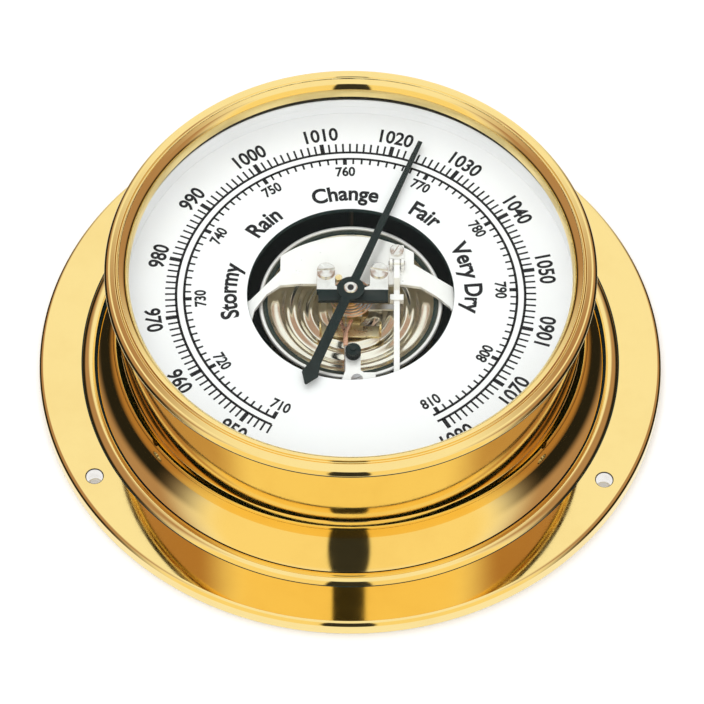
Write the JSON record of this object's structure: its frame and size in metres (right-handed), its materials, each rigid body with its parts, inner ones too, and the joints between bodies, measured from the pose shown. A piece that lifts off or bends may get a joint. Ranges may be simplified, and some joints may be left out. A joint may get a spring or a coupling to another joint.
{
  "type": "aneroid barometer",
  "caption": "Open-dial aneroid barometer in a round flanged brass case, with its corrugated capsule, lever train, hairspring and black pointer seen through the middle of the dial.",
  "frame": {"origin": "centre of the flange's wall face, on the pointer's axis", "axes": "+Z out of the wall through the glass, +Y to 12 o'clock on the dial, +X to 3 o'clock"},
  "size_m": [0.11, 0.11, 0.0315],
  "materials": {
    "polished_brass": "polished and lacquered, warm gold",
    "clear_glass": "flat, clear",
    "black_rubber": "matte",
    "white_dial": "matte white enamel with black print",
    "movement_brass": "turned, uncoated",
    "nickel_plate": "nickel plate, satin",
    "steel": "fine machined",
    "black_steel": "black lacquer, satin",
    "copper_strip": "phosphor bronze strip, copper tone"
  },
  "bodies": {
    "case": {"mounting_flange": "polished_brass", "case_drum": "polished_brass", "case_setscrews": "steel", "bezel_ring": "polished_brass", "glass": "clear_glass", "glass_gasket": "black_rubber", "dial_ring": "polished_brass", "dial": "white_dial", "movement_base": "movement_brass", "base_screws": "steel", "capsule_post": "movement_brass", "capsule_shell": "nickel_plate", "capsule_rim": "nickel_plate", "capsule_diaphragm": "nickel_plate", "bridge_pillars": "movement_brass", "bridge_plate": "nickel_plate", "bridge_screws": "steel", "arbor_bar": "black_steel", "bar_posts": "movement_brass", "bar_screws": "nickel_plate", "hairspring": "copper_strip", "hairspring_stud": "movement_brass", "lever_bracket": "nickel_plate", "lever_bracket_screw": "nickel_plate", "lever_pin": "steel", "rocker_bracket": "nickel_plate", "bracket_screws": "steel", "regulator_plate": "nickel_plate", "regulator_screw": "steel", "regulator_nut": "black_steel"},
    "pointer_group": {"pointer": "black_steel", "pointer_hub": "movement_brass", "arbor": "steel", "chain_drum": "movement_brass", "hairspring_collet": "movement_brass"},
    "adjuster": {"adjusting_screw": "steel"},
    "capsule_centre": {"capsule_stud": "movement_brass", "capsule_saddle": "movement_brass"},
    "lever_group": {"main_lever": "nickel_plate", "lever_collar": "nickel_plate", "lever_yoke": "steel"},
    "push_rod": {"push_rod": "steel"},
    "rocker": {"rocker_shaft": "steel", "rocker_arm": "steel", "rocker_crank": "steel"},
    "chain_group": {"chain": "steel", "chain_yoke": "copper_strip", "chain_rod": "steel"}
  },
  "joints": [
    {"name": "pointer_turn", "type": "hinge", "parent": "case", "child": "pointer_group", "pos_m": [0, 0, 0.0237], "axis": [0, 0, 1], "range_deg": [-129.5, 174.5]},
    {"name": "adjuster_turn", "type": "hinge", "parent": "case", "child": "adjuster", "pos_m": [0, 0, 0.002], "axis": [0, 0, 1], "range_deg": [-180, 180]},
    {"name": "capsule_lift", "type": "slide", "parent": "case", "child": "capsule_centre", "axis": [0, 0, 1], "range_m": [-0.000143, 0.000192], "deforming": ["capsule_diaphragm"]},
    {"name": "lever_swing", "type": "hinge", "parent": "case", "child": "lever_group", "pos_m": [0.008, 0.007, 0.0216], "axis": [-1, 0, 0], "range_deg": [-1.27, 1.71]},
    {"name": "rod_lift", "type": "slide", "parent": "case", "child": "push_rod", "axis": [0, 0, 1], "range_m": [-0.00054, 0.00073]},
    {"name": "rocker_swing", "type": "hinge", "parent": "case", "child": "rocker", "pos_m": [0, -0.01894, 0.0146], "axis": [1, 0, 0], "range_deg": [-18.76, 25.26]},
    {"name": "chain_pull", "type": "slide", "parent": "case", "child": "chain_group", "axis": [0, -1, 0], "range_m": [-0.00177, 0.00239]}
  ],
  "couplings": [
    {"joint": "capsule_lift", "follows": "pointer_turn", "m_per_rad": 0.00006239},
    {"joint": "lever_swing", "follows": "pointer_turn", "ratio": 0.0097485},
    {"joint": "rod_lift", "follows": "pointer_turn", "m_per_rad": 0.00023689},
    {"joint": "rocker_swing", "follows": "pointer_turn", "ratio": 0.14444},
    {"joint": "chain_pull", "follows": "pointer_turn", "m_per_rad": 0.00078}
  ]
}
